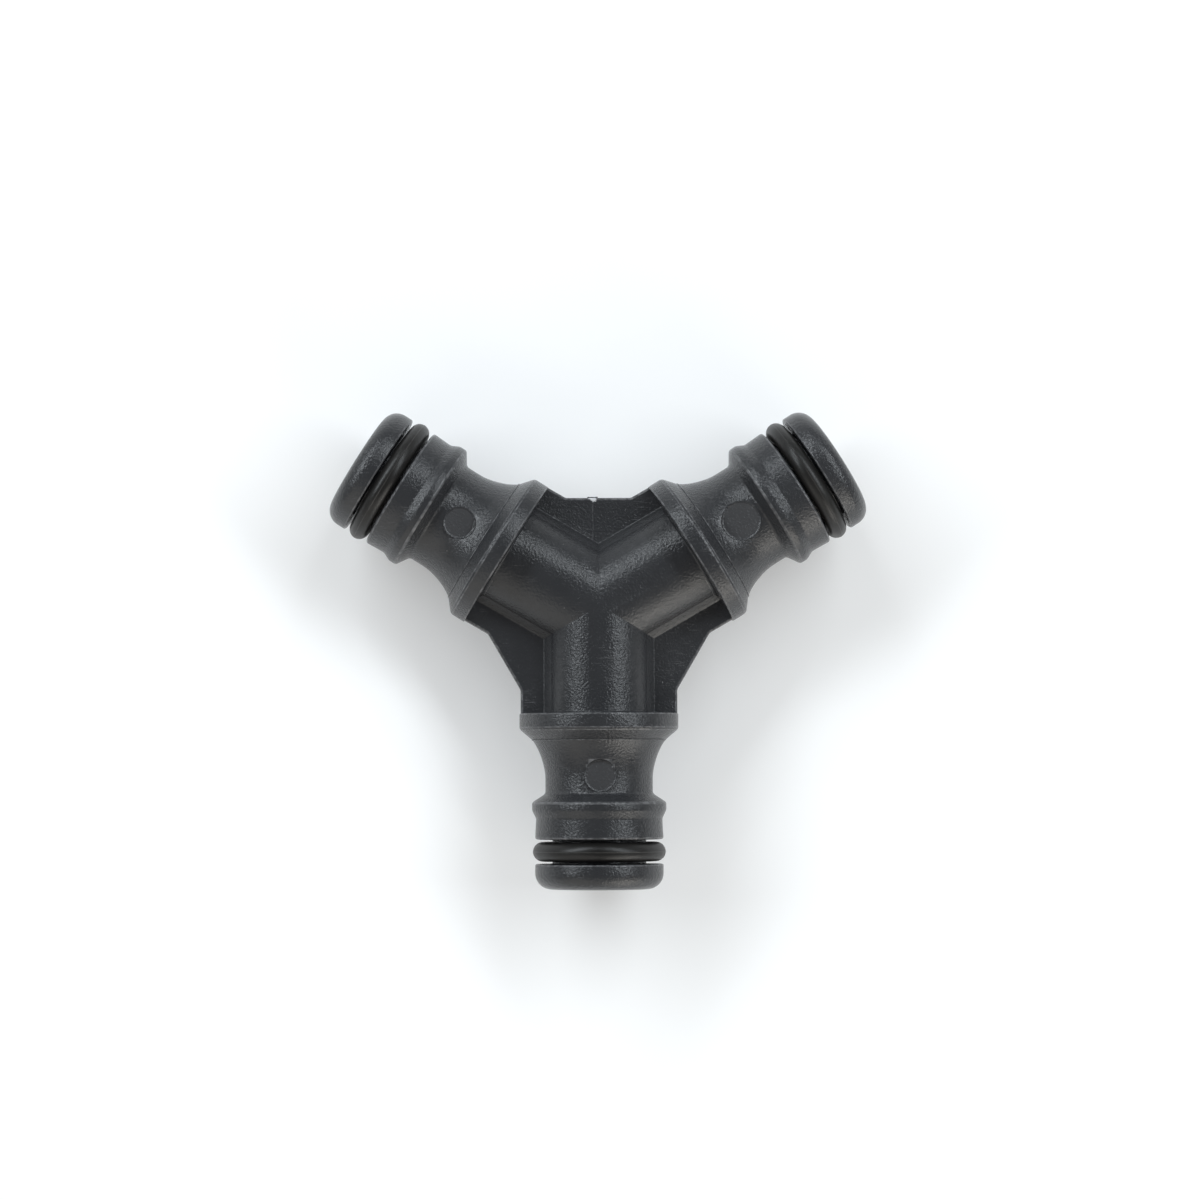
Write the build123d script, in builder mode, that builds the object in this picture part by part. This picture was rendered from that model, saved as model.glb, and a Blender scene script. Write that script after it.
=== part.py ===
from build123d import *

import os
from math import cos, radians, sin, sqrt, tan

# Three-way hose connector, in millimetres.
# One hollow moulded Y body: three tubes meet in the hub, flat webs stiffen the corners
# between them, and each tube carries a plug-in spigot for a quick-connect coupling.
# An O-ring sits in the groove of every spigot.
#
# The origin is the hub centre. Z = 0 is the mould's parting plane, the stem points
# along -Y and the two branches open towards +Y.

# Hub angles in degrees. The branch spigots lean towards each other from there.
stem_angle = 270
left_angle = 150
right_angle = 30
leg_spacing_angle = 120
square_angle = 90
branch_lean_angle = 2.3

# Hub: tubes and webs
tube_radius = 6.5
flange_reach = 13.2  # hub centre to the hub side of a flange
web_thickness = 3.0
web_reach = 13.6  # hub centre to the straight edge of a web
web_setback = 0.15  # the web's side edges stay this far inside the flange rim
web_corner_radius = 0.8
web_edge_chamfer = 0.3
root_height = 2.62  # a bevel starts at this height on a tube's sides
root_half_width = 6.83  # and meets the web this far from the tube's axis
root_fillet = 0.2
bore_radius = 4.5
mouth_chamfer = 0.4  # broken edge of the bore at the spigot's end

# Spigot: flange, cone and flare down to the neck
flange_radius = 9.9
flange_width = 2.0
flange_inner_chamfer = 0.2
flange_outer_radius = 0.6
cone_length = 1.35
flare_top_radius = 8.3
flare_radius = 8.5
neck_radius = 6.7
neck_length = 1.7

# Spigot: catch ridge and guide band
ridge_radius = 8.37
ridge_front = 1.1
ridge_width = 0.95
ridge_back = 1.05
ridge_chamfer = 0.25
band_radius = 7.87
band_length = 2.6
band_end_radius = 8.0
band_chamfer = 0.25

# Spigot: nose, and the O-ring's groove behind it
nose_radius = 8.0
nose_length = 3.15
nose_round = 2.0  # rounded tip, which finds its way into the coupling
nose_chamfer = 0.2
groove_width = 3.05
ring_section = 2.4
ring_outer_radius = 8.27
seat_clearance = 0.02

# Marks that the mould leaves: ejector pin flats on the necks, a gate stub on the top web
pin_marks = {
    "stem": (7.8, 4.1),  # distance from the flange's hub side, diameter
    "left": (6.9, 4.1),
    "right": (7.2, 5.0),
}
pin_mark_depth = 0.05  # the flats lie this far below the top of the neck
gate_width = 1.4
gate_height = 1.2
gate_stub = 0.25
gate_offset = -0.7

# Places along a spigot, from the hub side of its flange
flare_length = sqrt(flare_radius**2 - (flare_radius - flare_top_radius + neck_radius) ** 2)
flare_start = flange_width + cone_length
neck_start = flare_start + flare_length
ridge_foot = neck_start + neck_length
ridge_start = ridge_foot + ridge_front
ridge_end = ridge_start + ridge_width
band_start = ridge_end + ridge_back
groove_start = band_start + band_length
groove_end = groove_start + groove_width
spigot_length = groove_end + nose_length
ring_position = groove_start + groove_width / 2
ring_radius = ring_outer_radius - ring_section / 2
groove_radius = ring_radius - ring_section / 2 - seat_clearance

# The hub's tubes and webs end in the middle of the flanges, where the spigots take over
hub_end = flange_reach + flange_width / 2
leg_length = flange_reach + spigot_length
web_half_width = flange_radius - web_setback
web_notch = web_half_width / sin(radians(leg_spacing_angle / 2))
web_half_edge = (web_reach - web_notch) * tan(radians(leg_spacing_angle / 2))
root_top_half_width = sqrt(tube_radius**2 - root_height**2)

spigot_directions = {
    "stem": stem_angle,
    "left": left_angle - branch_lean_angle,
    "right": right_angle + branch_lean_angle,
}
hub_directions = {
    "stem": stem_angle,
    "left": left_angle,
    "right": right_angle,
}


def along(direction, distance):
    """The point at this distance from the origin in this direction on the parting plane."""
    angle = radians(direction)
    return Vector(distance * cos(angle), distance * sin(angle), 0)


# The leaning branches' axes run through the middles of their flanges, and so they meet
# on the stem's axis, a little below the hub centre.
right_flange = along(right_angle, hub_end)
axes_meet = Vector(0, right_flange.Y - right_flange.X * tan(radians(spigot_directions["right"])), 0)


def spigot_plane(leg, distance=0):
    """A plane on a spigot's axis, at a distance from its flange. Local X runs out along the axis."""
    flange_middle = (along(hub_directions[leg], hub_end) - axes_meet).length
    run = flange_middle - flange_width / 2 + distance
    direction = along(spigot_directions[leg], 1)
    return Plane(origin=axes_meet + run * direction, x_dir=direction, z_dir=(0, 0, 1))


def cross_plane(origin, direction):
    """A plane square to a direction on the parting plane, with its local Y pointing up."""
    return Plane(origin=origin, x_dir=along(direction + square_angle, 1), z_dir=along(direction, 1))


# One spigot, solid, drawn along +X and placed on each leg below
with BuildPart() as spigot:
    with BuildSketch(Plane.XY) as spigot_profile:
        with BuildLine() as spigot_outline:
            Polyline(
                (0, 0),
                (0, flange_radius),
                (flange_width, flange_radius),
                (flare_start, flare_top_radius),
            )
            RadiusArc((flare_start, flare_top_radius), (neck_start, neck_radius), -flare_radius)
            Polyline(
                (neck_start, neck_radius),
                (ridge_foot, neck_radius),
                (ridge_start, ridge_radius),
                (ridge_end, ridge_radius),
                (band_start, band_radius),
                (groove_start, band_end_radius),
                (groove_start, groove_radius),
                (groove_end, groove_radius),
                (groove_end, nose_radius),
                (spigot_length, nose_radius),
                (spigot_length, 0),
                (0, 0),
            )
        make_face()
        for corner, radius in (
            ((flange_width, flange_radius), flange_outer_radius),
            ((spigot_length, nose_radius), nose_round),
        ):
            fillet(spigot_profile.vertices().sort_by_distance(corner)[0], radius)
        for corner, length in (
            ((0, flange_radius), flange_inner_chamfer),
            ((ridge_start, ridge_radius), ridge_chamfer),
            ((ridge_end, ridge_radius), ridge_chamfer),
            ((groove_start, band_end_radius), band_chamfer),
            ((groove_end, nose_radius), nose_chamfer),
        ):
            chamfer(spigot_profile.vertices().sort_by_distance(corner)[0], length)
    revolve(axis=Axis.X)

with BuildPart() as y_body:
    # Webs: a strip behind each flange, and a straight-edged corner between each two
    with BuildSketch(Plane.XY) as web_outline:
        with PolarLocations(0, len(hub_directions), start_angle=stem_angle):
            Rectangle(hub_end, 2 * web_half_width, align=(Align.MIN, Align.CENTER))
        with PolarLocations(0, len(hub_directions), start_angle=stem_angle + leg_spacing_angle / 2):
            Rectangle(web_reach, 2 * web_half_edge, align=(Align.MIN, Align.CENTER))
        web_corners = web_outline.vertices().sort_by_distance((0, 0))[: 2 * len(hub_directions)]
        fillet(web_corners, web_corner_radius)
    extrude(amount=web_thickness / 2, both=True)
    web_rims = y_body.edges().group_by(Axis.Z)[0] + y_body.edges().group_by(Axis.Z)[-1]
    chamfer(web_rims, web_edge_chamfer)

    # Tubes, with the bevels that run them into the webs
    with BuildSketch(*[cross_plane((0, 0, 0), hub_directions[leg]) for leg in hub_directions]) as tubes:
        Circle(tube_radius)
        for side in (-1, 1):
            Polygon(
                (side * root_half_width, web_thickness / 2),
                (side * root_top_half_width, root_height),
                (side * root_top_half_width, -root_height),
                (side * root_half_width, -web_thickness / 2),
                align=None,
            )
        Rectangle(2 * (root_half_width + root_fillet), web_thickness)
        root_feet = [
            tubes.vertices().sort_by_distance((side * root_half_width, face * web_thickness / 2))[0]
            for side in (-1, 1)
            for face in (-1, 1)
        ]
        fillet(root_feet, root_fillet)
    extrude(amount=hub_end)

    # Spigots
    with Locations(*[spigot_plane(leg) for leg in hub_directions]):
        add(spigot.part)

    # Ejector pin flats: a pad up to the flat's level, then everything above it cut away
    flat_level = neck_radius - pin_mark_depth
    for leg, (distance, diameter) in pin_marks.items():
        mark_plane = spigot_plane(leg, distance).offset(flat_level)
        with BuildSketch(mark_plane):
            Circle(diameter / 2)
        extrude(amount=-(flat_level - bore_radius))
        with BuildSketch(mark_plane):
            Circle(diameter / 2)
        extrude(amount=flange_radius - flat_level, mode=Mode.SUBTRACT)

    # Gate stub, broken off short on the edge of the top web
    with BuildSketch(Plane.XZ.offset(-web_reach)):
        with Locations((gate_offset, 0)):
            Rectangle(gate_width, gate_height)
    extrude(amount=-gate_stub)

    # Water passages: straight bores on the spigots' axes
    with BuildSketch(*[cross_plane(axes_meet, spigot_directions[leg]) for leg in hub_directions]):
        Circle(bore_radius)
    extrude(amount=leg_length + bore_radius, mode=Mode.SUBTRACT)
    round_edges = y_body.edges().filter_by(GeomType.CIRCLE)
    mouths = [
        round_edges.sort_by_distance(spigot_plane(leg, spigot_length).origin)[0] for leg in hub_directions
    ]
    chamfer(mouths, mouth_chamfer)

rings = {}
for leg in hub_directions:
    with BuildPart() as o_ring:
        with BuildSketch(spigot_plane(leg, ring_position)):
            with Locations((0, ring_radius)):
                Circle(ring_section / 2)
        axis_plane = spigot_plane(leg)
        revolve(axis=Axis(axis_plane.origin, axis_plane.x_dir))
    rings["o_ring_" + leg] = o_ring.part

y_body.part.label = "y_body"

os.makedirs("parts", exist_ok=True)
export_step(y_body.part, "parts/y_body.step")
for name, ring in rings.items():
    ring.label = name
    export_step(ring, f"parts/{name}.step")
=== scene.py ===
from math import cos, pi, radians, sin, sqrt, tan

import bmesh
import bpy
from mathutils import Matrix, Vector, noise


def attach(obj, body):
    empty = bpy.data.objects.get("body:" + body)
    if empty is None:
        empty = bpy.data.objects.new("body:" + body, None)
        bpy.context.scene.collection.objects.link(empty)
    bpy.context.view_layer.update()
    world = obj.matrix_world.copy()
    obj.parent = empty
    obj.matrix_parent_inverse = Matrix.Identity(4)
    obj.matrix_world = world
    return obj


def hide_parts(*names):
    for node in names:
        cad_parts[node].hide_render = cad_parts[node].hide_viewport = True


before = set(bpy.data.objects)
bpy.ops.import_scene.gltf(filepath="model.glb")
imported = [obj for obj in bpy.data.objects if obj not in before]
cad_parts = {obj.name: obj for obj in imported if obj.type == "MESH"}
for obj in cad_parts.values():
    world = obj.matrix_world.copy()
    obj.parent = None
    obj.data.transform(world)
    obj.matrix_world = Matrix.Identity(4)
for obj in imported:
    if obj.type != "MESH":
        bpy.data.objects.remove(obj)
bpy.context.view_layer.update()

# Sizes of the connector in millimetres, as in the part's source. Pieces are shaped in
# millimetres and scaled to metres when they are finished.
MM = 0.001

# Hub: its legs' directions in degrees, its tubes and its webs
LEGS = {"stem": 270, "left": 150, "right": 30}
BRANCH_LEAN = 2.3  # degrees by which the branches' spigots lean towards each other
TUBE_RADIUS = 6.5
HUB_END = 14.2  # hub centre to the middle of a flange
WEB_THICKNESS = 3.0
WEB_REACH = 13.6  # hub centre to the straight edge of a web
WEB_HALF_WIDTH = 9.75
WEB_CORNER_CUT = 0.21
WEB_RIM_ROUNDING = 0.3
ROOT_HEIGHT = 2.62  # a bevel starts at this height on a tube's sides
ROOT_HALF_WIDTH = 6.83  # and meets the web this far from the tube's axis
ROOT_RUN = 1.08  # sideways run of the bevel, up to inside the tube
ROOT_HOLLOW = 0.12
BORE_RADIUS = 4.5
BORE_STOP = 0.6  # the passages start about this far out from the hub centre, and overlap there
MOUTH_ROUNDING = 0.42
MOUTH_FLARE = 1.2

# Spigot: radii, and places along its axis from the flange's hub side
FLANGE_RADIUS = 9.9
FLANGE_WIDTH = 2.0
FLARE_CORNER = 5.574  # the corner that the flare's arc rounds off
NECK_RADIUS = 6.7
RIDGE_RADIUS = 8.37
RIDGE_FOOT = 10.014
RIDGE_START = 11.114
RIDGE_END = 12.064
BAND_RADIUS = 7.87
BAND_START = 13.114
GROOVE_RADIUS = 5.85
GROOVE_START = 15.714
GROOVE_END = 18.764
NOSE_RADIUS = 8.0
SPIGOT_LENGTH = 21.914

# Hollow where a tube meets its flange
COLLAR_INSIDE = 6.2
COLLAR_SIDE = 6.47
COLLAR_FOOT = 6.95
COLLAR_HOLLOW = 0.34

# O-rings, with the flash line of their mould
RING_POSITION = 17.239
RING_RADIUS = 7.07
RING_SECTION = 2.4
FLASH_HEIGHT = 0.03
FLASH_WIDTH = 0.1

# Ejector pin marks: distance from the flange's hub side, and diameter
PIN_MARKS = {"stem": (7.8, 4.1), "left": (6.9, 4.1), "right": (7.2, 5.0)}
PIN_LEVEL = 6.65  # height of the pressed flats
PIN_PAD_HEIGHT = 0.12  # the pad at a mark reaches this far over the flat
PIN_RING_HEIGHT = 0.08  # and all that is left of it there is a fine ring of this height
PIN_PAD_FOOT = 5.0
PIN_PAD_SPREAD = 0.12
PIN_CREST_INSET = 0.06
PIN_BOWL_INSET = 0.3
PIN_CLEAR_INSET = 0.02
PIN_CLEAR_SPREAD = 0.3

# Gate: the torn stub, and the line that the plastic left where it flowed in
GATE_OFFSET = -0.7
GATE_SIZE = (1.3, 0.5, 1.1)
GATE_SUNK = 0.06
TEAR_FROM = 0.2
TEAR_DEPTH = 0.09
TEAR_DROP = 0.04
TEAR_FINENESS = 4.0
FLOW_START = 7.0
FLOW_STOP = 0.35  # short of the web's edge by this
FLOW_HALF_WIDTH = 0.09
FLOW_HEIGHT = 0.06
FLOW_SUNK = 0.02

# Finish of the meshes
TIGHTEST_PLAIN_RADIUS = 0.6  # edges rounded tighter than this get painted highlights
SMALLEST_TURN = radians(4)
SHORTEST_EDGE = 0.02
CRISP_ANGLE = radians(13)
FACING_UP = 0.999
SAME_LEVEL = 0.01
SAME_PLACE = 1e-6
MERGED = 1e-4

SPIGOT_ANGLES = {
    "stem": LEGS["stem"],
    "left": LEGS["left"] - BRANCH_LEAN,
    "right": LEGS["right"] + BRANCH_LEAN,
}

# The leaning axes run through the middles of the branches' flanges and meet on the stem's axis.
RIGHT = radians(LEGS["right"])
FALL = cos(RIGHT) * tan(radians(SPIGOT_ANGLES["right"]))
AXES_MEET = Vector((0, HUB_END * (sin(RIGHT) - FALL), 0))


def direction(angle):
    """The unit vector in this direction, in degrees, on the parting plane."""
    return Vector((cos(radians(angle)), sin(radians(angle)), 0))


def spigot_place(leg):
    """Where a spigot stands: its own X runs out along the axis from the flange's hub side."""
    flange_middle = (HUB_END * direction(LEGS[leg]) - AXES_MEET).length
    origin = AXES_MEET + (flange_middle - FLANGE_WIDTH / 2) * direction(SPIGOT_ANGLES[leg])
    return Matrix.Translation(origin) @ Matrix.Rotation(radians(SPIGOT_ANGLES[leg]), 4, "Z")


def hub_place(leg):
    """Where a hub tube stands: its own X runs out along the axis from the hub centre."""
    return Matrix.Rotation(radians(LEGS[leg]), 4, "Z")


# Shaping


def rounded(bm, corner, offset, steps):
    """Rounds one corner of a flat face."""
    bmesh.ops.bevel(
        bm,
        geom=[corner],
        offset=offset,
        offset_type="OFFSET",
        segments=steps,
        profile=0.5,
        affect="VERTICES",
        material=-1,
    )


def grown(bm, step):
    """Grows a flat face by this step into a solid."""
    region = bmesh.ops.extrude_face_region(bm, geom=bm.faces[:], use_keep_orig=True)
    moved = [g for g in region["geom"] if isinstance(g, bmesh.types.BMVert)]
    bmesh.ops.translate(bm, verts=moved, vec=step)


def spun(bm, steps):
    """Turns an outline once round the X axis into a solid."""
    bmesh.ops.spin(
        bm,
        geom=bm.verts[:] + bm.edges[:],
        cent=(0, 0, 0),
        axis=(1, 0, 0),
        angle=2 * pi,
        steps=steps,
        use_merge=True,
    )
    return closed(bm)


def closed(bm):
    """Merges corners that coincide and points every face outward."""
    bmesh.ops.remove_doubles(bm, verts=bm.verts, dist=MERGED)
    bmesh.ops.recalc_face_normals(bm, faces=bm.faces)
    return bm


def put(bm, place):
    """Moves a shape to its place."""
    bmesh.ops.transform(bm, matrix=place, verts=bm.verts)
    return bm


def drawn_face(corners):
    """A flat face in the XZ plane from (x, z, rounding, steps) corners."""
    bm = bmesh.new()
    bm.faces.new([bm.verts.new((x, 0, z)) for x, z, _, _ in corners])
    for x, z, rounding, steps in corners:
        if rounding:
            corner = min(bm.verts, key=lambda v: (v.co - Vector((x, 0, z))).length)
            rounded(bm, corner, rounding, steps)
    return bm


def turned(corners, steps=120):
    """A solid turned about the X axis, from its half outline as for drawn_face."""
    bm = drawn_face(corners)
    bmesh.ops.delete(bm, geom=bm.faces[:], context="FACES_ONLY")
    axis_edges = [e for e in bm.edges if all(abs(v.co.z) < SAME_PLACE for v in e.verts)]
    bmesh.ops.delete(bm, geom=axis_edges, context="EDGES")
    return spun(bm, steps)


def drawn_bar(corners, start, end):
    """A bar along X whose section in the YZ plane has these (y, z, rounding, steps) corners."""
    bm = drawn_face(corners)
    bmesh.ops.rotate(bm, verts=bm.verts, matrix=Matrix.Rotation(radians(90), 3, "Z"))
    bmesh.ops.translate(bm, verts=bm.verts, vec=(start, 0, 0))
    grown(bm, (end - start, 0, 0))
    return closed(bm)


def rod(radius, start, end, steps=120):
    """A cylinder along X."""
    bm = bmesh.new()
    bmesh.ops.create_cone(
        bm, cap_ends=True, segments=steps, radius1=radius, radius2=radius, depth=end - start
    )
    bmesh.ops.rotate(bm, verts=bm.verts, matrix=Matrix.Rotation(radians(90), 3, "Y"))
    bmesh.ops.translate(bm, verts=bm.verts, vec=((start + end) / 2, 0, 0))
    return bm


def as_object(name, bm):
    """An object in the scene with this shape."""
    mesh = bpy.data.meshes.new(name)
    bm.to_mesh(mesh)
    bm.free()
    piece = bpy.data.objects.new(name, mesh)
    bpy.context.scene.collection.objects.link(piece)
    return piece


def worked(name, base, joined, cut):
    """One solid: the base with the joined shapes added and the cut shapes taken away."""
    piece = as_object(name, base)
    helpers = []
    for operation, shapes in (("UNION", joined), ("DIFFERENCE", cut)):
        for shape in shapes:
            helper = as_object(name + "_" + operation.lower(), shape)
            helpers.append(helper)
            step = piece.modifiers.new(operation.lower(), "BOOLEAN")
            step.operation = operation
            step.solver = "MANIFOLD"
            step.object = helper
    graph = bpy.context.evaluated_depsgraph_get()
    mesh = bpy.data.meshes.new_from_object(piece.evaluated_get(graph))
    piece.modifiers.clear()
    piece.data = mesh
    for helper in helpers:
        bpy.data.objects.remove(helper)
    return piece


def mark_faces(piece):
    """Sets "tight_edge" to 1 on tightly rounded convex edges, and "pin_flat" on pin marks."""
    bm = bmesh.new()
    bm.from_mesh(piece.data)
    layer = bm.faces.layers.float.new("tight_edge")
    for edge in bm.edges:
        if len(edge.link_faces) == 2 and edge.calc_length() > SHORTEST_EDGE:
            turn = edge.calc_face_angle_signed(0)
            width = sum(face.calc_area() for face in edge.link_faces) / edge.calc_length() / 2
            if turn > SMALLEST_TURN and turn / width > 1 / TIGHTEST_PLAIN_RADIUS:
                for face in edge.link_faces:
                    face[layer] = 1
    pin_layer = bm.faces.layers.float.new("pin_flat")
    for face in bm.faces:
        height = face.calc_center_median().z
        if face.normal.z > FACING_UP and abs(height - PIN_LEVEL) < SAME_LEVEL:
            face[pin_layer] = 1
    bm.to_mesh(piece.data)
    bm.free()


def finished(piece, material, node):
    """Metres, smooth shading between the crisp edges, its finish, and its place in the frame."""
    mark_faces(piece)
    piece.data.transform(Matrix.Scale(MM, 4))
    piece.data.shade_smooth()
    piece.data.set_sharp_from_angle(angle=CRISP_ANGLE)
    piece.data.materials.clear()
    piece.data.materials.append(material)
    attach(piece, "root")
    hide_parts(node)


# The body


def web_plate():
    """The flat webs between the tubes, with softened rims."""
    half_gap = radians(60)  # half the angle between two legs
    notch = WEB_HALF_WIDTH / sin(half_gap)
    half_edge = (WEB_REACH - notch) * tan(half_gap)
    corner = WEB_REACH * cos(half_gap) + half_edge * sin(half_gap)
    bm = bmesh.new()
    rim = []
    for angle in sorted(LEGS.values()):
        turn = Matrix.Rotation(radians(angle), 4, "Z")
        for x, side in ((corner, -1), (HUB_END, -1), (HUB_END, 1), (corner, 1)):
            rim.append(bm.verts.new(turn @ Vector((x, side * WEB_HALF_WIDTH, -WEB_THICKNESS / 2))))
    bm.faces.new(rim)
    # The corners further out are hidden in the flanges and stay sharp.
    for vert in [v for v in rim if v.co.xy.length < WEB_REACH + 1]:
        rounded(bm, vert, WEB_CORNER_CUT, 4)
    grown(bm, (0, 0, WEB_THICKNESS))
    bmesh.ops.recalc_face_normals(bm, faces=bm.faces)
    level_edges = [e for e in bm.edges if abs(e.verts[0].co.z - e.verts[1].co.z) < SAME_PLACE]
    bmesh.ops.bevel(
        bm,
        geom=level_edges,
        offset=WEB_RIM_ROUNDING,
        offset_type="OFFSET",
        segments=5,
        profile=0.5,
        affect="EDGES",
        material=-1,
    )
    return bm


def root_bar():
    """The bevels that run a tube's sides into the webs, with a small hollow at their foot."""
    face = WEB_THICKNESS / 2
    slope = (ROOT_HEIGHT - face) / (ROOT_HALF_WIDTH - sqrt(TUBE_RADIUS**2 - ROOT_HEIGHT**2))
    side = [
        (ROOT_HALF_WIDTH - ROOT_RUN, face + ROOT_RUN * slope, 0, 0),
        (ROOT_HALF_WIDTH, face, ROOT_HOLLOW, 4),
        (ROOT_HALF_WIDTH + 0.4, face - 0.01, 0, 0),
    ]
    outline = side + [(y, -z, r, n) for y, z, r, n in reversed(side)]
    outline += [(-y, -z, r, n) for y, z, r, n in side]
    outline += [(-y, z, r, n) for y, z, r, n in reversed(side)]
    return drawn_bar(outline, 0, HUB_END)


def spigot():
    """Flange, cone and flare, neck, catch ridge, guide band, O-ring groove and rounded nose."""
    # Each corner: its place along the axis, its radius, its rounding and that rounding's steps
    flange = [(0, 0, 0, 0), (0, FLANGE_RADIUS, 0.22, 5), (FLANGE_WIDTH, FLANGE_RADIUS, 0.3, 6)]
    witness_line = [(3.3, 8.36, 0, 0), (3.34, 8.4, 0.02, 2), (3.42, 8.35, 0, 0), (3.44, 8.235, 0, 0)]
    flare = [(FLARE_CORNER, NECK_RADIUS, 2.5, 8)]
    ridge = [
        (RIDGE_FOOT, NECK_RADIUS, 0.3, 6),
        (RIDGE_START, RIDGE_RADIUS, 0.22, 6),
        (RIDGE_END, RIDGE_RADIUS, 0.2, 5),
    ]
    band = [(BAND_START, BAND_RADIUS, 0.15, 3), (GROOVE_START, NOSE_RADIUS, 0.3, 7)]
    groove = [(GROOVE_START, GROOVE_RADIUS, 0.15, 4), (GROOVE_END, GROOVE_RADIUS, 0.15, 4)]
    nose = [
        (GROOVE_END, NOSE_RADIUS, 0.22, 6),
        (SPIGOT_LENGTH, NOSE_RADIUS, 2.0, 12),
        (SPIGOT_LENGTH, 0, 0, 0),
    ]
    return turned(flange + witness_line + flare + ridge + band + groove + nose)


def flange_collar():
    """The small hollow where a tube meets its flange."""
    hub_side = -0.4
    flange_side = 0.3
    return turned(
        [
            (hub_side, COLLAR_INSIDE, 0, 0),
            (hub_side, COLLAR_SIDE, 0, 0),
            (0, COLLAR_SIDE, COLLAR_HOLLOW, 6),
            (0, COLLAR_FOOT, 0, 0),
            (flange_side, COLLAR_FOOT, 0, 0),
            (flange_side, COLLAR_INSIDE, 0, 0),
        ]
    )


def bore():
    """The water passage, opened out with a rounded edge at the mouth."""
    start = -(HUB_END - FLANGE_WIDTH / 2 - BORE_STOP)
    outside = SPIGOT_LENGTH + 1
    wide = BORE_RADIUS + MOUTH_FLARE
    return turned(
        [
            (start, 0, 0, 0),
            (start, BORE_RADIUS, 0, 0),
            (SPIGOT_LENGTH - 0.05, BORE_RADIUS, MOUTH_ROUNDING, 6),
            (SPIGOT_LENGTH + 0.2, wide, 0, 0),
            (outside, wide, 0, 0),
            (outside, 0, 0, 0),
        ]
    )


def pin_disc(leg, low, high, low_inset=0.0, high_inset=0.0):
    """A disc at an ejector pin's mark on a neck, drawn in by the insets at its foot and top."""
    distance, across = PIN_MARKS[leg]
    bm = bmesh.new()
    bmesh.ops.create_cone(
        bm,
        cap_ends=True,
        segments=64,
        radius1=across / 2 - low_inset,
        radius2=across / 2 - high_inset,
        depth=high - low,
    )
    bmesh.ops.translate(bm, verts=bm.verts, vec=(distance, 0, (low + high) / 2))
    return put(bm, spigot_place(leg))


def pin_pad(leg):
    """What a pin's mark adds to the neck: a pad whose rim is left standing as a fine ring."""
    return pin_disc(leg, PIN_PAD_FOOT, PIN_LEVEL + PIN_PAD_HEIGHT, -PIN_PAD_SPREAD, PIN_CREST_INSET)


def pin_cuts(leg):
    """What a pin's mark takes away: a shallow bowl down to its flat, and all that stands above."""
    bowl = pin_disc(leg, PIN_LEVEL, PIN_LEVEL + PIN_PAD_HEIGHT, PIN_BOWL_INSET)
    above = pin_disc(leg, PIN_LEVEL + PIN_RING_HEIGHT, FLANGE_RADIUS, PIN_CLEAR_INSET, -PIN_CLEAR_SPREAD)
    return [bowl, above]


def gate_stub():
    """The stub that is left where the part was broken off its runner, torn and uneven."""
    bm = bmesh.new()
    bmesh.ops.create_cube(bm, size=1)
    bmesh.ops.subdivide_edges(bm, edges=bm.edges[:], cuts=7, use_grid_fill=True)
    bmesh.ops.scale(bm, verts=bm.verts, vec=GATE_SIZE)
    for vert in bm.verts:
        if vert.co.y > TEAR_FROM:
            vert.co.y += TEAR_DEPTH * noise.noise(vert.co * TEAR_FINENESS) - TEAR_DROP
    bmesh.ops.translate(bm, verts=bm.verts, vec=(GATE_OFFSET, WEB_REACH - GATE_SUNK, 0))
    return bm


def flow_line():
    """The fine raised line where the plastic flowed in, from the gate to the tubes' corner."""
    face = WEB_THICKNESS / 2
    ridge = [
        (-FLOW_HALF_WIDTH, face - FLOW_SUNK, 0, 0),
        (FLOW_HALF_WIDTH, face - FLOW_SUNK, 0, 0),
        (0.0, face + FLOW_HEIGHT, 0, 0),
    ]
    place = Matrix.Translation((GATE_OFFSET, 0, 0)) @ Matrix.Rotation(radians(90), 4, "Z")
    return put(drawn_bar(ridge, FLOW_START, WEB_REACH - FLOW_STOP), place)


def y_body(material):
    """The moulded body: hub, webs, spigots and the mould's marks in one hollow piece."""
    joined = []
    cut = []
    for leg in LEGS:
        joined.append(put(rod(TUBE_RADIUS, 0, HUB_END), hub_place(leg)))
        joined.append(put(root_bar(), hub_place(leg)))
        joined.append(put(spigot(), spigot_place(leg)))
        joined.append(put(flange_collar(), spigot_place(leg)))
        joined.append(pin_pad(leg))
        cut += pin_cuts(leg)
        cut.append(put(bore(), spigot_place(leg)))
    joined += [gate_stub(), flow_line()]
    piece = worked("moulded_body", web_plate(), joined, cut)
    finished(piece, material, "y_body")


# The O-rings


def o_ring(leg, material):
    """A round rubber ring with the fine flash line of its mould around the outside."""
    bm = bmesh.new()
    bmesh.ops.create_circle(bm, cap_ends=True, segments=48, radius=RING_SECTION / 2)
    outermost = max(bm.verts, key=lambda v: v.co.y)
    crest = outermost.co + Vector((0, FLASH_HEIGHT, 0))
    rounded(bm, outermost, FLASH_WIDTH / 2, 2)
    min(bm.verts, key=lambda v: (v.co - crest).length).co = crest
    bmesh.ops.delete(bm, geom=bm.faces[:], context="FACES_ONLY")
    bmesh.ops.rotate(bm, verts=bm.verts, matrix=Matrix.Rotation(radians(90), 3, "X"))
    bmesh.ops.translate(bm, verts=bm.verts, vec=(RING_POSITION, 0, RING_RADIUS))
    piece = as_object("rubber_ring_" + leg, put(spun(bm, 144), spigot_place(leg)))
    finished(piece, material, "o_ring_" + leg)


# Finishes: colours as shares of red, green and blue, textures in cycles per metre

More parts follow.
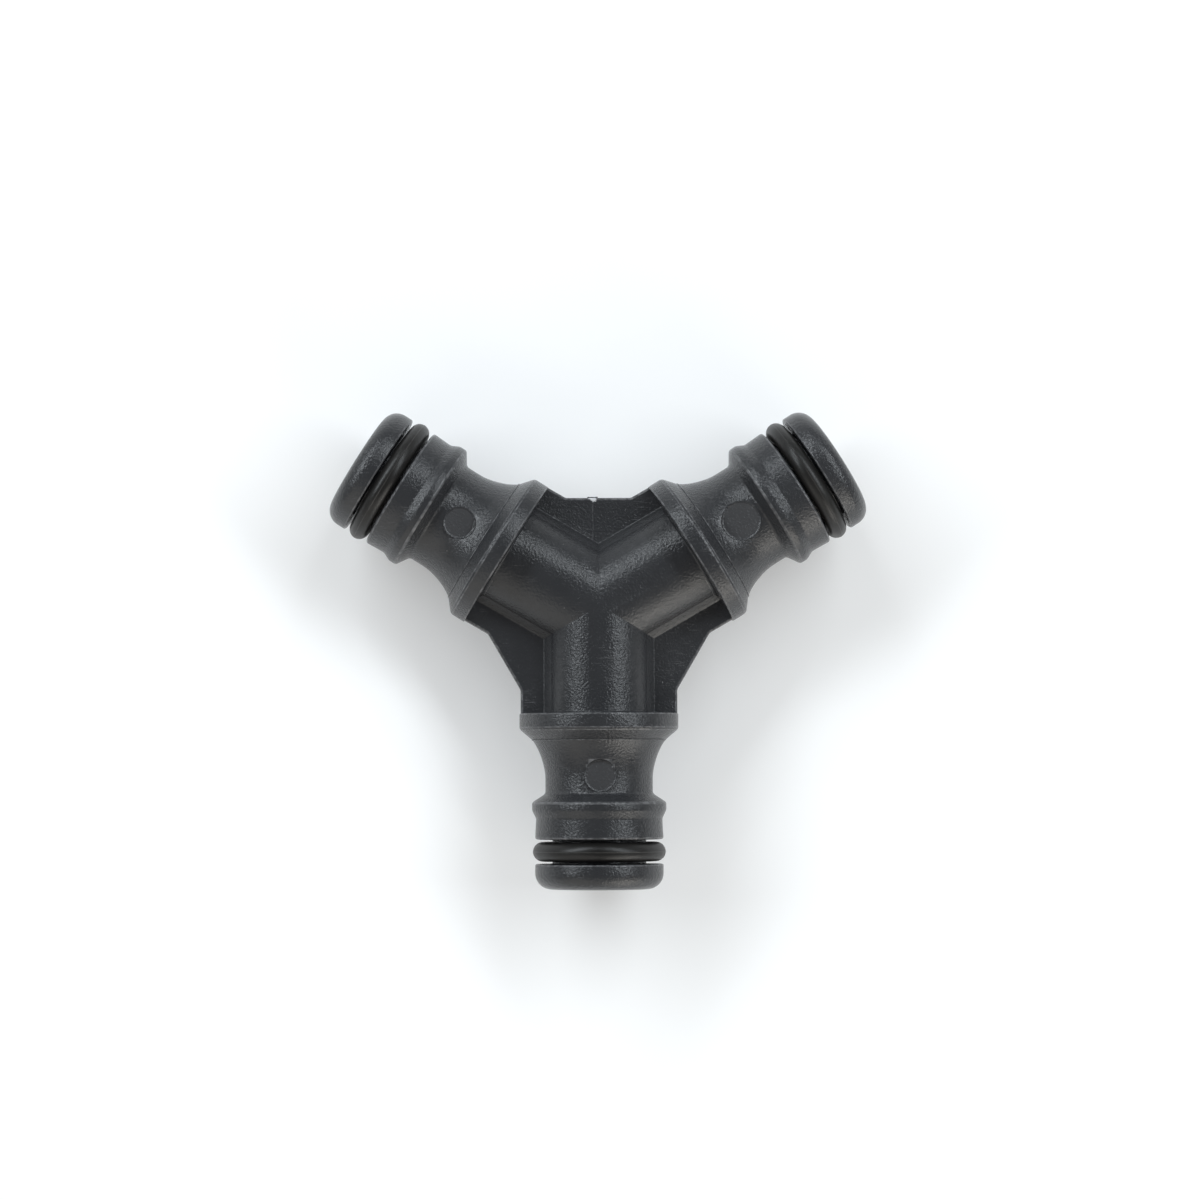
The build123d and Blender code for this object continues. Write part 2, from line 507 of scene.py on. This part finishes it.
PLASTIC_DARK = (0.0235, 0.0242, 0.0263, 1)
PLASTIC_PALE = (0.0285, 0.0292, 0.0315, 1)
# Painted sheen on the pin flats: a paler colour that stands in for the reflection they lack
PLASTIC_PIN_SHEEN = (0.050, 0.050, 0.052, 1)
# Painted highlight colour for the tight edges of the plastic
PLASTIC_GLINT_PAINT = (0.15, 0.15, 0.155, 1)
PLASTIC_SCRATCHED = (0.075, 0.075, 0.08, 1)
PLASTIC_DUST = (0.18, 0.18, 0.175, 1)
PLASTIC_WHITENED = (0.55, 0.55, 0.56, 1)
PLASTIC_ROUGHNESS = (0.20, 0.25)
PLASTIC_GRAIN = 3300.0
PLASTIC_GRAIN_DEPTH = 0.000038
GLINT_EDGE_GLOSS = 0.06  # the marked tight edges, which carry painted highlights, are smoother by this

RUBBER_DARK = (0.0100, 0.0095, 0.0090, 1)
RUBBER_PALE = (0.0150, 0.0142, 0.0134, 1)
# Painted highlight colour for the tight edges of the rubber
RUBBER_GLINT_PAINT = (0.05, 0.046, 0.042, 1)
RUBBER_DUST = (0.16, 0.15, 0.14, 1)
RUBBER_ROUGHNESS = (0.30, 0.44)
RUBBER_GRAIN = 5200.0
RUBBER_GRAIN_DEPTH = 0.000006

# Ranges of a texture's value over which a mask goes from nothing to full
NOISE_RANGE = (0.3, 0.7)
GLINT_PATCH_RANGE = (0.42, 0.66)
SPECK_RANGE = (0.07, 0.045)
SCRATCH_RANGE = (0.64, 0.70)
SCRATCHED_PLACES = (0.55, 0.65)
WHITENED_RANGE = (1.08, 1.32)

MOTTLING = 170.0
LEAST_GLINT_PATCH = 0.25
SCRATCH_TURN = (0.2, 0.1, 0.75)
SCRATCH_STRETCH = (500, 9000, 900)
WHITE_CORE = 0.0002  # metres from the gate where the plastic is wholly white
WHITE_REACH = 0.0010
WHITE_FLECKS = 2400.0


class Nodes:
    """A material's or a group's nodes, added one by one and joined by name."""

    def __init__(self, tree):
        self.tree = tree

    def add(self, kind, inputs=None, **settings):
        """A node of this kind, with its settings and what its inputs are fed."""
        node = self.tree.nodes.new("ShaderNode" + kind)
        for name, value in settings.items():
            setattr(node, name, value)
        for socket, value in (inputs or {}).items():
            self.feed(node.inputs[socket], value)
        return node

    def feed(self, socket, value):
        """Links an output to the socket, or sets the socket to a plain value."""
        if isinstance(value, bpy.types.NodeSocket):
            self.tree.links.new(value, socket)
        else:
            socket.default_value = value

    def calculated(self, operation, first, second):
        """The result of one operation on two numbers."""
        node = self.add("Math", operation=operation)
        self.feed(node.inputs[0], first)
        self.feed(node.inputs[1], second)
        return node.outputs[0]

    def noise(self, place, scale, detail, roughness=0.5):
        """A noise texture between 0 and 1."""
        inputs = {"Vector": place, "Scale": scale, "Detail": detail, "Roughness": roughness}
        return self.add("TexNoise", inputs).outputs["Fac"]

    def between(self, value, low, high, to_low=0.0, to_high=1.0):
        """The value spread from its low and high to new ones, and held there."""
        inputs = {"Value": value, "From Min": low, "From Max": high, "To Min": to_low, "To Max": to_high}
        return self.add("MapRange", inputs).outputs["Result"]

    def blended(self, share, first, second):
        """The first colour where the share is 0, and the second where it is 1."""
        node = self.add("Mix", data_type="RGBA")
        for socket, value in ((node.inputs[0], share), (node.inputs[6], first), (node.inputs[7], second)):
            self.feed(socket, value)
        return node.outputs[2]

    def covered(self, colour, mask, strength, cover):
        """The colour with another one over it, as strong as the mask times the strength."""
        return self.blended(self.calculated("MULTIPLY", mask, strength), colour, cover)

    def effect(self, tree, inputs):
        """The outputs of an effect's group that is fed these inputs."""
        node = self.tree.nodes.new("ShaderNodeGroup")
        node.node_tree = tree
        for name, value in inputs.items():
            self.feed(node.inputs[name], value)
        return node.outputs


def effect_group(name, inputs, outputs, build):
    """A node group whose inputs are a place and numbers, and whose outputs are masks or heights."""
    tree = bpy.data.node_groups.new(name, "ShaderNodeTree")
    tree.interface.new_socket("Place", in_out="INPUT", socket_type="NodeSocketVector")
    for socket in inputs:
        tree.interface.new_socket(socket, in_out="INPUT", socket_type="NodeSocketFloat")
    for socket in outputs:
        tree.interface.new_socket(socket, in_out="OUTPUT", socket_type="NodeSocketFloat")
    given = tree.nodes.new("NodeGroupInput").outputs
    nodes = Nodes(tree)
    results = build(nodes, given)
    end = tree.nodes.new("NodeGroupOutput")
    for socket, value in zip(outputs, results):
        nodes.feed(end.inputs[socket], value)
    return tree


def grain(nodes, given):
    """The spark-eroded grain of a mould, coarse pits with finer ones in them, and a slow mottling."""
    pits = nodes.noise(given["Place"], given["Fineness"], 2.5, 0.6)
    slow = nodes.noise(given["Place"], MOTTLING, 5.0, 0.6)
    return nodes.between(pits, *NOISE_RANGE), nodes.between(slow, *NOISE_RANGE)


def paint_edge_highlights(nodes, given):
    """Painted highlights along the tight edges, stronger in some stretches than in others."""
    patches = nodes.noise(given["Place"], given["Patches"], 4.0)
    share = nodes.between(patches, *GLINT_PATCH_RANGE, LEAST_GLINT_PATCH, 1.0)
    return [nodes.calculated("MULTIPLY", given["Edge"], share)]


def specks(nodes, given):
    """1 in a few small round specks of dust and chipped grain, and 0 between them."""
    cells = nodes.add("TexVoronoi", {"Vector": given["Place"], "Scale": given["Closeness"]})
    round_specks = nodes.between(cells.outputs["Distance"], *SPECK_RANGE)
    chance = nodes.add("SeparateColor", {"Color": cells.outputs["Color"]}).outputs[0]
    kept = nodes.calculated("LESS_THAN", chance, given["Share"])
    return [nodes.calculated("MULTIPLY", round_specks, kept)]


def scratches(nodes, given):
    """1 along fine scratches that run one way, in a few places."""
    inputs = {"Vector": given["Place"], "Rotation": SCRATCH_TURN, "Scale": SCRATCH_STRETCH}
    stretched = nodes.add("Mapping", inputs).outputs["Vector"]
    lines = nodes.between(nodes.noise(stretched, 1.0, 1.0), *SCRATCH_RANGE)
    places = nodes.between(nodes.noise(given["Place"], given["Spread"], 1.0), *SCRATCHED_PLACES)
    return [nodes.calculated("MULTIPLY", lines, places)]


mould_grain = effect_group("mould_grain", ["Fineness"], ["Height", "Mottling"], grain)
# Mask for painted highlights along the tight edges
painted_edge_glints = effect_group("painted_edge_glints", ["Edge", "Patches"], ["Mask"], paint_edge_highlights)
small_specks = effect_group("small_specks", ["Closeness", "Share"], ["Mask"], specks)
fine_scratches = effect_group("fine_scratches", ["Spread"], ["Mask"], scratches)


def new_material(name):
    """A material with its nodes and its shader."""
    material = bpy.data.materials.new(name)
    material.use_nodes = True
    return material, Nodes(material.node_tree), material.node_tree.nodes["Principled BSDF"]


def whitened_gate(nodes, place):
    """1 at the torn stub of the gate, where the plastic is stressed white, and in flecks around it."""
    apart = nodes.add("VectorMath", operation="DISTANCE")
    nodes.feed(apart.inputs[0], place)
    apart.inputs[1].default_value = (GATE_OFFSET * MM, WEB_REACH * MM, WEB_THICKNESS / 2 * MM)
    near = nodes.between(apart.outputs["Value"], WHITE_REACH, WHITE_CORE)
    flecks = nodes.noise(place, WHITE_FLECKS, 3.0, 0.7)
    return nodes.between(nodes.calculated("ADD", near, flecks), *WHITENED_RANGE)


def charcoal_plastic():
    """Glass-filled nylon: charcoal, grained by the mould, with painted highlights on its tight edges and
    a painted sheen on its pin flats.
    """
    material, nodes, shader = new_material("charcoal_plastic")
    place = nodes.add("TexCoord").outputs["Object"]
    edge = nodes.add("Attribute", attribute_name="tight_edge").outputs["Fac"]
    pin_flat = nodes.add("Attribute", attribute_name="pin_flat").outputs["Fac"]
    surface = nodes.effect(mould_grain, {"Place": place, "Fineness": PLASTIC_GRAIN})
    glint_mask = nodes.effect(painted_edge_glints, {"Place": place, "Edge": edge, "Patches": 1300.0})["Mask"]
    dust = nodes.effect(small_specks, {"Place": place, "Closeness": 900.0, "Share": 0.12})["Mask"]
    lines = nodes.effect(fine_scratches, {"Place": place, "Spread": 260.0})["Mask"]
    dragged = nodes.effect(fine_scratches, {"Place": place, "Spread": 2200.0})["Mask"]

    colour = nodes.blended(surface["Mottling"], PLASTIC_DARK, PLASTIC_PALE)
    # The pin flats are painted paler as a painted reflection, less so along the dragged scratches
    pin_sheen_share = nodes.between(dragged, 0.0, 1.0, 0.8, 0.35)
    colour = nodes.covered(colour, pin_flat, pin_sheen_share, PLASTIC_PIN_SHEEN)
    # Painted highlights on the tight edges, in patches
    colour = nodes.covered(colour, glint_mask, 0.7, PLASTIC_GLINT_PAINT)
    colour = nodes.covered(colour, lines, 0.35, PLASTIC_SCRATCHED)
    colour = nodes.covered(colour, dust, 0.6, PLASTIC_DUST)
    colour = nodes.blended(whitened_gate(nodes, place), colour, PLASTIC_WHITENED)
    nodes.feed(shader.inputs["Base Color"], colour)

    rough = nodes.between(surface["Mottling"], 0.0, 1.0, *PLASTIC_ROUGHNESS)
    rough = nodes.calculated("SUBTRACT", rough, nodes.calculated("MULTIPLY", glint_mask, GLINT_EDGE_GLOSS))
    nodes.feed(shader.inputs["Roughness"], rough)
    shader.inputs["Specular IOR Level"].default_value = 0.43

    height = nodes.calculated("SUBTRACT", surface["Height"], nodes.calculated("MULTIPLY", lines, 0.4))
    bump = nodes.add("Bump", {"Height": height, "Strength": 1.0, "Distance": PLASTIC_GRAIN_DEPTH})
    nodes.feed(shader.inputs["Normal"], bump.outputs["Normal"])
    return material


def black_rubber():
    """Nitrile rubber: smooth, nearly black with a brown cast, lightly dusted, with painted highlights on
    its tight edges.
    """
    material, nodes, shader = new_material("black_rubber")
    place = nodes.add("TexCoord").outputs["Object"]
    edge = nodes.add("Attribute", attribute_name="tight_edge").outputs["Fac"]
    surface = nodes.effect(mould_grain, {"Place": place, "Fineness": RUBBER_GRAIN})
    glint_mask = nodes.effect(painted_edge_glints, {"Place": place, "Edge": edge, "Patches": 900.0})["Mask"]
    dust = nodes.effect(small_specks, {"Place": place, "Closeness": 1300.0, "Share": 0.2})["Mask"]
    colour = nodes.blended(surface["Mottling"], RUBBER_DARK, RUBBER_PALE)
    # Painted highlights on the tight edges, in patches
    colour = nodes.covered(colour, glint_mask, 0.5, RUBBER_GLINT_PAINT)
    colour = nodes.covered(colour, dust, 0.7, RUBBER_DUST)
    nodes.feed(shader.inputs["Base Color"], colour)
    rough = nodes.between(surface["Mottling"], 0.0, 1.0, *RUBBER_ROUGHNESS)
    nodes.feed(shader.inputs["Roughness"], rough)
    shader.inputs["Specular IOR Level"].default_value = 0.3
    height = surface["Height"]
    bump = nodes.add("Bump", {"Height": height, "Strength": 1.0, "Distance": RUBBER_GRAIN_DEPTH})
    nodes.feed(shader.inputs["Normal"], bump.outputs["Normal"])
    return material


y_body(charcoal_plastic())
rubber = black_rubber()
for leg in LEGS:
    o_ring(leg, rubber)


# Floor, light and camera: distances and sizes in metres, angles in degrees

FLOOR_HALF_SIZE = 1500 * MM
FLOOR_COLOUR = (0.82, 0.82, 0.82, 1)
FLOOR_GLOW = 0.15
WORLD_COLOUR = (0.15, 0.15, 0.153, 1)
COOL = (0.90, 0.96, 1.0)
WARM = (1.0, 0.97, 0.91)

# Name, azimuth, height, distance, the panel's two lengths, brightness and colour. A tube mirrors
# only what stands square to its axis, so the first two lamps are long: each one makes a bright
# strip along the stem's tube and another along a branch's.
LAMPS = (
    ("right_lamp", 34, 46.0, 0.9, 1.1, 0.2, 8.4, COOL),
    ("left_lamp", 142, 38.0, 0.9, 1.1, 0.2, 9.6, COOL),
    ("front_panel", 240, 24, 0.9, 0.9, 0.8, 0.95, WARM),
    ("front_right_lamp", 302, 20, 0.7, 0.5, 0.45, 2.2, WARM),
    ("low_right_lamp", 302, 6, 0.7, 0.5, 0.12, 4.0, WARM),
)

CAMERA_PLACE = Vector((-13.0, -20.4, 572.3)) * MM
CAMERA_AIM = Vector((0.196, 0.911, 0)) * MM
CAMERA_ROLL = 0.213
SENSOR_WIDTH = 36
FRAME_PIXELS = 1200
PIXEL = 0.1248  # millimetres that a pixel spans at the aim's distance
VIEW_WIDTH = FRAME_PIXELS * PIXEL * MM


def seen_or_mirrored(nodes):
    """1 where the camera, a gloss or a clear material looks at the surface, and 0 for its light."""
    path = nodes.add("LightPath").outputs
    seen = nodes.calculated("MAXIMUM", path["Is Camera Ray"], path["Is Glossy Ray"])
    return nodes.calculated("MAXIMUM", seen, path["Is Transmission Ray"])


def pale_floor():
    """A wide plain floor under the flanges, that looks white to the camera."""
    bm = bmesh.new()
    bmesh.ops.create_grid(bm, x_segments=1, y_segments=1, size=FLOOR_HALF_SIZE)
    bmesh.ops.translate(bm, verts=bm.verts, vec=(0, 0, -FLANGE_RADIUS * MM))
    floor = as_object("floor", bm)
    material, nodes, shader = new_material("pale_floor")
    shader.inputs["Base Color"].default_value = FLOOR_COLOUR
    shader.inputs["Roughness"].default_value = 0.9
    shader.inputs["Emission Color"].default_value = (1, 1, 1, 1)
    glow = nodes.calculated("MULTIPLY", seen_or_mirrored(nodes), FLOOR_GLOW)
    nodes.feed(shader.inputs["Emission Strength"], glow)
    floor.data.materials.append(material)


def soft_light(name, azimuth, height, distance, across, up, brightness, colour):
    """A soft panel that faces the part from an azimuth and a height."""
    raised = Vector((cos(radians(height)), 0, sin(radians(height))))
    toward = Matrix.Rotation(radians(azimuth), 3, "Z") @ raised
    light = bpy.data.lights.new(name, "AREA")
    light.shape = "RECTANGLE"
    light.size = across
    light.size_y = up
    light.energy = brightness * pi * across * up
    light.color = colour
    lamp = bpy.data.objects.new(name, light)
    lamp.location = toward * distance
    lamp.rotation_euler = (-toward).to_track_quat("-Z", "Y").to_euler()
    bpy.context.scene.collection.objects.link(lamp)


def dim_world():
    """A dim, even light from everywhere."""
    world = bpy.data.worlds.new("studio")
    bpy.context.scene.world = world
    world.use_nodes = True
    world.node_tree.nodes["Background"].inputs["Color"].default_value = WORLD_COLOUR


def overhead_camera():
    """A camera high above the part, nearly square to it, with a small roll."""
    camera_data = bpy.data.cameras.new("camera")
    camera_data.sensor_width = SENSOR_WIDTH
    camera = bpy.data.objects.new("camera", camera_data)
    camera.location = CAMERA_PLACE
    camera_data.lens = SENSOR_WIDTH * (CAMERA_AIM - camera.location).length / VIEW_WIDTH
    camera_data.clip_start = 0.01
    look = (CAMERA_AIM - camera.location).normalized()
    across = look.cross(Vector((0, 1, 0))).normalized()
    roll = Matrix.Rotation(radians(CAMERA_ROLL), 3, look)
    camera.rotation_euler = (roll @ Matrix((across, across.cross(look), -look)).transposed()).to_euler()
    bpy.context.scene.collection.objects.link(camera)
    bpy.context.scene.camera = camera


pale_floor()
for lamp in LAMPS:
    soft_light(*lamp)
dim_world()
overhead_camera()
bpy.context.scene.view_settings.view_transform = "Standard"
